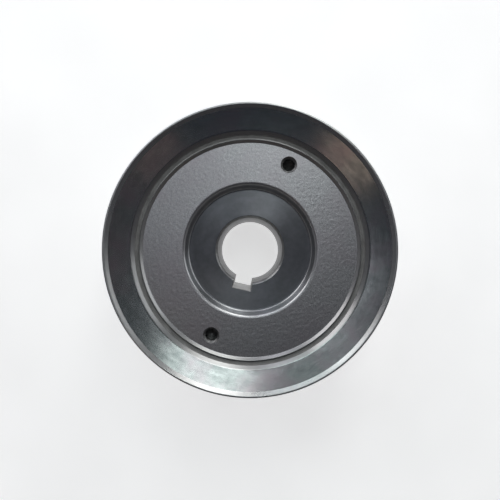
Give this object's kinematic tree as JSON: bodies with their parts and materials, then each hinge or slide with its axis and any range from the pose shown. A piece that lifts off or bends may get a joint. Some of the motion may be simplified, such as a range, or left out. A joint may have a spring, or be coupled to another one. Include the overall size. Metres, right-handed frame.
{
  "type": "v belt pulley",
  "caption": "Crankshaft V-belt pulley: keyed hub with a bolt recess and puller holes, a bonded rubber ring and a dished, grooved outer ring.",
  "frame": {"origin": "centre of the bore at the rear end of the hub, the face that seats on the crankshaft", "axes": "+Z along the bore axis towards the dished front face; +Y towards the picture's top and +X towards its right, so the keyway lies 257.5 degrees anticlockwise from +X"},
  "size_m": [0.154, 0.154, 0.062],
  "materials": {
    "hub_iron": "blasted web, turned seat, bore and edges",
    "rubber": "matte, moulded, dusty",
    "ring_steel": "turned and thinly zinc plated"
  },
  "bodies": {
    "hub": {"keyed_hub": "hub_iron", "damper_rubber": "rubber"},
    "ring": {"v_groove_ring": "ring_steel"}
  },
  "joints": [
    {"name": "ring_twist", "type": "hinge", "parent": "hub", "child": "ring", "pos_m": [0, 0, 0.0508], "axis": [0, 0, 1], "range_deg": [-1.5, 1.5], "stiffness_Nm_per_rad": 300}
  ]
}
